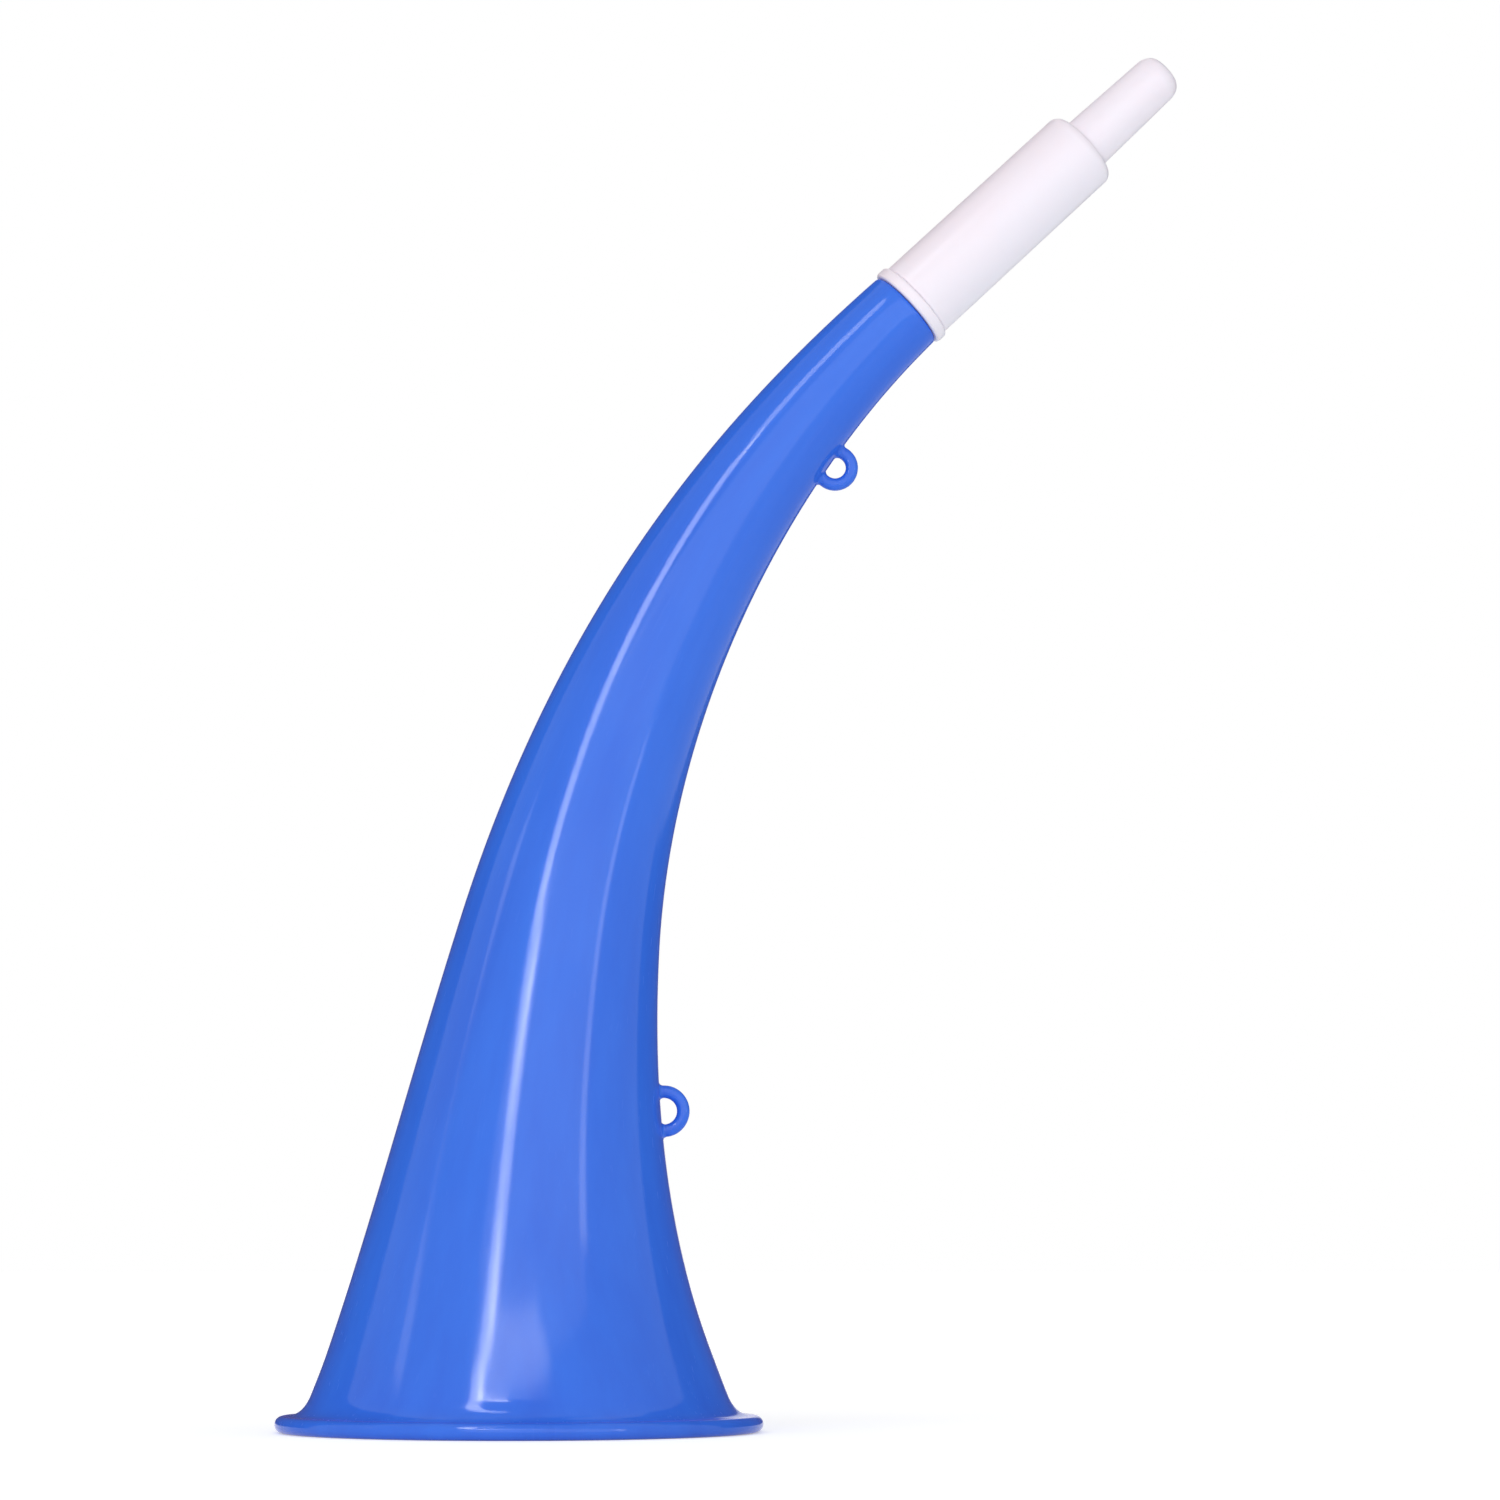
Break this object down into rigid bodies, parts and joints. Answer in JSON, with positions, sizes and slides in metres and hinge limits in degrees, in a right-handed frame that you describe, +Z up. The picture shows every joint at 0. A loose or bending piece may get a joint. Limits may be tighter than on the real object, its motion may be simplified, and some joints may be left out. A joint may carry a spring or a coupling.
{
  "type": "vuvuzela",
  "caption": "Curved plastic stadium horn with a flared bell, rolled lip and moulded eyelets, and a push-fit white mouthpiece that holds a beating reed behind a narrow blow tube.",
  "frame": {"origin": "middle of the bounding box on the plane of the bell's rim, on which the horn stands", "axes": "+Z up out of the bell, +X towards the mouthpiece; the curve of the horn lies in the XZ plane, which is also the mould's parting plane"},
  "size_m": [0.1834, 0.0978, 0.2817],
  "materials": {
    "horn_blue": "glossy blow-moulded blue plastic",
    "milk_white": "smooth milky white injection-moulded plastic",
    "reed_film": "smooth clear-grey plastic film"
  },
  "bodies": {
    "horn": {"horn_body": "horn_blue"},
    "plug": {"reed_block": "milk_white", "shallot": "milk_white", "reed_wedge": "milk_white"},
    "barrel": {"mouthpiece_barrel": "milk_white"},
    "reed": {"reed_tongue": "reed_film"}
  },
  "joints": [
    {"name": "mouthpiece_pull", "type": "slide", "parent": "horn", "child": "plug", "axis": [0.7307, 0, 0.6827], "range_m": [0, 0.03]},
    {"name": "barrel_pull", "type": "slide", "parent": "plug", "child": "barrel", "axis": [0.7307, 0, 0.6827], "range_m": [0, 0.045]},
    {"name": "reed_flex", "type": "hinge", "parent": "plug", "child": "reed", "pos_m": [0.04364, 0, 0.23866], "axis": [0, -1, 0], "range_deg": [-1.5, 2], "stiffness_Nm_per_rad": 0.002}
  ]
}
